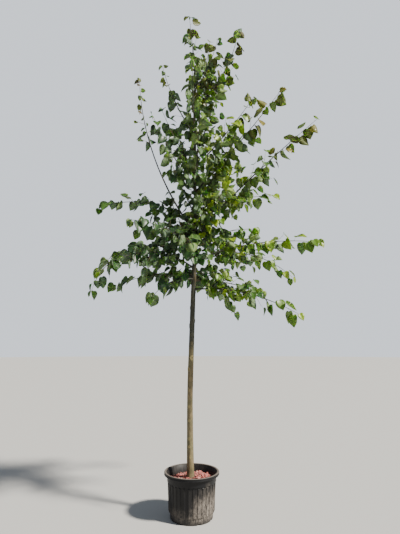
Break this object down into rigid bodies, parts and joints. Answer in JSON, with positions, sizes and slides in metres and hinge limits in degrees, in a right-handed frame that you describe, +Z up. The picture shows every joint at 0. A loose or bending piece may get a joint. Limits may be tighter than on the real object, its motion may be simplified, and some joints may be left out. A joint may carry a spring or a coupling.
{
  "type": "linden tree",
  "caption": "Young linden tree standing in a black nursery pot, with a slender straight stem and a light, open crown of rising and arching boughs hung with heart-shaped leaves.",
  "frame": {"origin": "middle of the pot's flat underside", "axes": "+Z up along the stem, -Y towards the side that the picture shows, +X to that view's right"},
  "size_m": [2.2549, 1.7411, 5.1724],
  "materials": {
    "pot": "black moulded plastic, dusty near the foot",
    "soil": "damp potting soil",
    "chips": "dry red chips",
    "trunk_bark": "smooth young bark, olive grey-brown",
    "bough_bark": "smooth young bark, brown",
    "leaves": "satin leaves, paler underneath"
  },
  "bodies": {
    "root": {"pot": "pot", "soil": "soil", "chips": "chips", "trunk": "trunk_bark", "bough_right_long": "bough_bark", "bough_right_high": "bough_bark", "bough_right_fork": "bough_bark", "bough_right_level": "bough_bark", "bough_right_arch": "bough_bark", "bough_right_low": "bough_bark", "bough_right_crown": "bough_bark", "bough_left_tall": "bough_bark", "bough_left_level": "bough_bark", "bough_left_arch": "bough_bark", "bough_left_low": "bough_bark", "bough_front_low": "bough_bark", "bough_front_high": "bough_bark", "bough_back_mid": "bough_bark", "bough_back_high": "bough_bark", "leaves_right_long": "leaves", "leaves_right_high": "leaves", "leaves_right_fork": "leaves", "leaves_right_level": "leaves", "leaves_right_arch": "leaves", "leaves_right_low": "leaves", "leaves_right_crown": "leaves", "leaves_left_tall": "leaves", "leaves_left_level": "leaves", "leaves_left_arch": "leaves", "leaves_left_low": "leaves", "leaves_front_low": "leaves", "leaves_front_high": "leaves", "leaves_back_mid": "leaves", "leaves_back_high": "leaves", "leaves_right_mid": "leaves", "leaves_right_under": "leaves", "leaves_left_front": "leaves", "leaves_left_under": "leaves", "leaves_left_slim": "leaves", "leaves_left_twin": "leaves", "leaves_left_back": "leaves", "leaves_left_droop": "leaves", "leaves_left_inner": "leaves", "leaves_front_mid": "leaves", "leaves_back_low": "leaves", "leaves_back_right": "leaves", "leaves_back_tall": "leaves", "leaves_inner_right": "leaves", "leaves_inner_left": "leaves", "leaves_core_front": "leaves", "leaves_core_back": "leaves", "leaves_core_right": "leaves", "leaves_core_left": "leaves", "leaves_column_right": "leaves", "leaves_column_back": "leaves", "leaves_column_left": "leaves", "leaves_column_high": "leaves", "leaves_crown_back": "leaves", "leaves_crown_right": "leaves", "leaves_leader": "leaves"}
  },
  "joints": []
}
